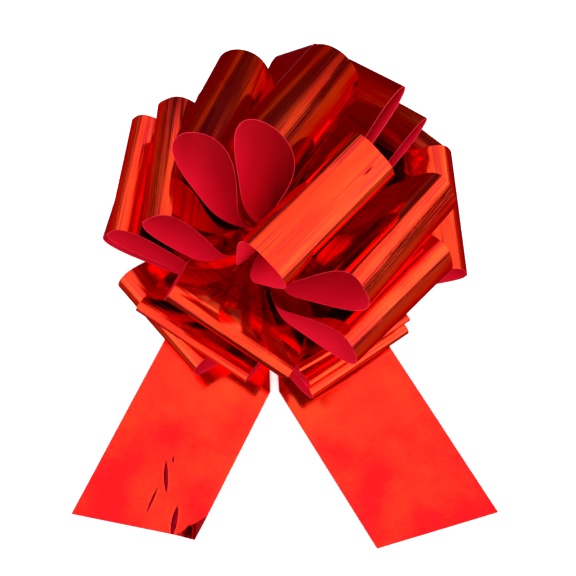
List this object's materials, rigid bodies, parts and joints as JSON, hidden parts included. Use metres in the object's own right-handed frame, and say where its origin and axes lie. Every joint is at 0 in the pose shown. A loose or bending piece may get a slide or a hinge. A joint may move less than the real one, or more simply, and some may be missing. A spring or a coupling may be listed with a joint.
{
  "type": "ribbon pull bow",
  "caption": "Pom-pom gift bow of wide metallic red film ribbon: teardrop loops on a stack of welded necks, with two flat tails cut askew.",
  "frame": {"origin": "centre of the flat underside of the lowest weld, in the plane that the bow lies on", "axes": "+Z out of the gift, along the stack of necks; -Y towards the ends of the tails; +X to the right seen from above"},
  "size_m": [0.1748, 0.2001, 0.1277],
  "materials": {
    "metallic_film": "mirror-like metallised film outside, satin crimson inside",
    "pull_ribbon": "satin woven-look narrow ribbon",
    "welded_film": "crimped metallised film"
  },
  "bodies": {
    "core": {"base_weld": "welded_film", "knot": "pull_ribbon", "neck_weld_01": "welded_film", "neck_weld_02": "welded_film", "neck_weld_03": "welded_film", "neck_weld_04": "welded_film", "neck_weld_05": "welded_film", "neck_weld_06": "welded_film", "neck_weld_07": "welded_film", "neck_weld_08": "welded_film", "neck_weld_09": "welded_film", "neck_weld_10": "welded_film", "pull_ribbon_back": "pull_ribbon", "pull_ribbon_front": "pull_ribbon"},
    "loop_back_right": {"loop_back_right": "metallic_film"},
    "loop_top": {"loop_top": "metallic_film"},
    "loop_back_left": {"loop_back_left": "metallic_film"},
    "loop_right_high": {"loop_right_high": "metallic_film"},
    "loop_left_high": {"loop_left_high": "metallic_film"},
    "loop_right_front": {"loop_right_front": "metallic_film"},
    "loop_front_left_high": {"loop_front_left_high": "metallic_film"},
    "loop_back_right_high": {"loop_back_right_high": "metallic_film"},
    "loop_back_right_middle": {"loop_back_right_middle": "metallic_film"},
    "loop_back_middle": {"loop_back_middle": "metallic_film"},
    "loop_left_middle": {"loop_left_middle": "metallic_film"},
    "loop_right_side": {"loop_right_side": "metallic_film"},
    "loop_left_low": {"loop_left_low": "metallic_film"},
    "loop_front_right_high": {"loop_front_right_high": "metallic_film"},
    "loop_front_left_middle": {"loop_front_left_middle": "metallic_film"},
    "loop_back_right_low": {"loop_back_right_low": "metallic_film"},
    "loop_front_right_middle": {"loop_front_right_middle": "metallic_film"},
    "loop_back_low": {"loop_back_low": "metallic_film"},
    "loop_front_left_low": {"loop_front_left_low": "metallic_film"},
    "loop_front_right_low": {"loop_front_right_low": "metallic_film"},
    "tail_left": {"tail_left": "metallic_film"},
    "tail_right": {"tail_right": "metallic_film"}
  },
  "joints": [
    {"name": "loop_back_right_bend", "type": "hinge", "parent": "core", "child": "loop_back_right", "pos_m": [0.00204, 0.00401, 0.06159], "axis": [0.4544, 0.7381, -0.4988], "range_deg": [-3, 2], "stiffness_Nm_per_rad": 0.02},
    {"name": "loop_top_bend", "type": "hinge", "parent": "core", "child": "loop_top", "pos_m": [0.00223, -0.00109, 0.06245], "axis": [-0.6839, -0.7246, 0.0852], "range_deg": [-10, 3], "stiffness_Nm_per_rad": 0.02},
    {"name": "loop_back_left_bend", "type": "hinge", "parent": "core", "child": "loop_back_left", "pos_m": [-0.00206, 0.0051, 0.05564], "axis": [0.2574, 0.8168, -0.5163], "range_deg": [-6, 3], "stiffness_Nm_per_rad": 0.02},
    {"name": "loop_right_high_bend", "type": "hinge", "parent": "core", "child": "loop_right_high", "pos_m": [0.0051, -0.00206, 0.0543], "axis": [-0.6214, -0.7264, 0.2936], "range_deg": [-6, 6], "stiffness_Nm_per_rad": 0.02},
    {"name": "loop_left_high_bend", "type": "hinge", "parent": "core", "child": "loop_left_high", "pos_m": [-0.0049, 0.0025, 0.05044], "axis": [0.0421, 0.9505, -0.3078], "range_deg": [-11, 5], "stiffness_Nm_per_rad": 0.02},
    {"name": "loop_right_front_bend", "type": "hinge", "parent": "core", "child": "loop_right_front", "pos_m": [0.00445, -0.00323, 0.04754], "axis": [-0.6992, -0.6802, 0.2201], "range_deg": [-6, 5], "stiffness_Nm_per_rad": 0.02},
    {"name": "loop_front_left_high_bend", "type": "hinge", "parent": "core", "child": "loop_front_left_high", "pos_m": [-0.0017, -0.00523, 0.04333], "axis": [-0.8124, 0.5209, 0.2621], "range_deg": [-7, 4], "stiffness_Nm_per_rad": 0.02},
    {"name": "loop_back_right_high_bend", "type": "hinge", "parent": "core", "child": "loop_back_right_high", "pos_m": [0.00283, 0.00471, 0.04054], "axis": [0.3125, -0.5657, 0.7631], "range_deg": [-3, 7], "stiffness_Nm_per_rad": 0.02},
    {"name": "loop_back_right_middle_bend", "type": "hinge", "parent": "core", "child": "loop_back_right_middle", "pos_m": [0.00368, 0.00409, 0.03427], "axis": [0.43, -0.5975, 0.6769], "range_deg": [-3, 4], "stiffness_Nm_per_rad": 0.02},
    {"name": "loop_back_middle_bend", "type": "hinge", "parent": "core", "child": "loop_back_middle", "pos_m": [-0.00038, 0.00549, 0.03511], "axis": [0.2656, -0.33, 0.9058], "range_deg": [-3, 3], "stiffness_Nm_per_rad": 0.02},
    {"name": "loop_left_middle_bend", "type": "hinge", "parent": "core", "child": "loop_left_middle", "pos_m": [-0.00517, 0.00188, 0.03241], "axis": [0.1028, 0.9561, -0.2745], "range_deg": [-5, 5], "stiffness_Nm_per_rad": 0.02},
    {"name": "loop_right_side_bend", "type": "hinge", "parent": "core", "child": "loop_right_side", "pos_m": [0.00546, 0.00067, 0.03048], "axis": [0.0445, -0.9867, 0.1561], "range_deg": [-5, 4], "stiffness_Nm_per_rad": 0.02},
    {"name": "loop_left_low_bend", "type": "hinge", "parent": "core", "child": "loop_left_low", "pos_m": [-0.00517, 0.00188, 0.02528], "axis": [0.1717, 0.931, -0.3221], "range_deg": [-12, 5], "stiffness_Nm_per_rad": 0.02},
    {"name": "loop_front_right_high_bend", "type": "hinge", "parent": "core", "child": "loop_front_right_high", "pos_m": [0.00346, -0.00427, 0.0254], "axis": [-0.8267, -0.4987, 0.2605], "range_deg": [-5, 4], "stiffness_Nm_per_rad": 0.02},
    {"name": "loop_front_left_middle_bend", "type": "hinge", "parent": "core", "child": "loop_front_left_middle", "pos_m": [-0.00323, -0.00445, 0.02071], "axis": [-0.8323, 0.5492, -0.0747], "range_deg": [-2, 4], "stiffness_Nm_per_rad": 0.02},
    {"name": "loop_back_right_low_bend", "type": "hinge", "parent": "core", "child": "loop_back_right_low", "pos_m": [0.00456, 0.00308, 0.01721], "axis": [0.4847, -0.6847, 0.5443], "range_deg": [-9, 5], "stiffness_Nm_per_rad": 0.02},
    {"name": "loop_front_right_middle_bend", "type": "hinge", "parent": "core", "child": "loop_front_right_middle", "pos_m": [0.00353, -0.00421, 0.01442], "axis": [-0.8027, -0.5388, 0.2556], "range_deg": [-5, 2], "stiffness_Nm_per_rad": 0.02},
    {"name": "loop_back_low_bend", "type": "hinge", "parent": "core", "child": "loop_back_low", "pos_m": [-0.003, 0.00461, 0.01268], "axis": [0.835, 0.5477, -0.0521], "range_deg": [-10, 5], "stiffness_Nm_per_rad": 0.02},
    {"name": "loop_front_left_low_bend", "type": "hinge", "parent": "core", "child": "loop_front_left_low", "pos_m": [-0.00451, -0.00315, 0.00957], "axis": [-0.6436, 0.7285, -0.2346], "range_deg": [-15, 5], "stiffness_Nm_per_rad": 0.02},
    {"name": "loop_front_right_low_bend", "type": "hinge", "parent": "core", "child": "loop_front_right_low", "pos_m": [0.00339, -0.00433, 0.00837], "axis": [-0.7985, -0.5393, 0.2674], "range_deg": [-15, 5], "stiffness_Nm_per_rad": 0.02},
    {"name": "tail_left_bend", "type": "hinge", "parent": "core", "child": "tail_left", "pos_m": [-0.00409, -0.00802, 0.0002], "axis": [-0.891, 0.454, 0], "range_deg": [0, 15], "stiffness_Nm_per_rad": 0.02},
    {"name": "tail_right_bend", "type": "hinge", "parent": "core", "child": "tail_right", "pos_m": [0.00477, -0.00763, 0.0002], "axis": [-0.848, -0.5299, 0], "range_deg": [0, 15], "stiffness_Nm_per_rad": 0.02}
  ]
}
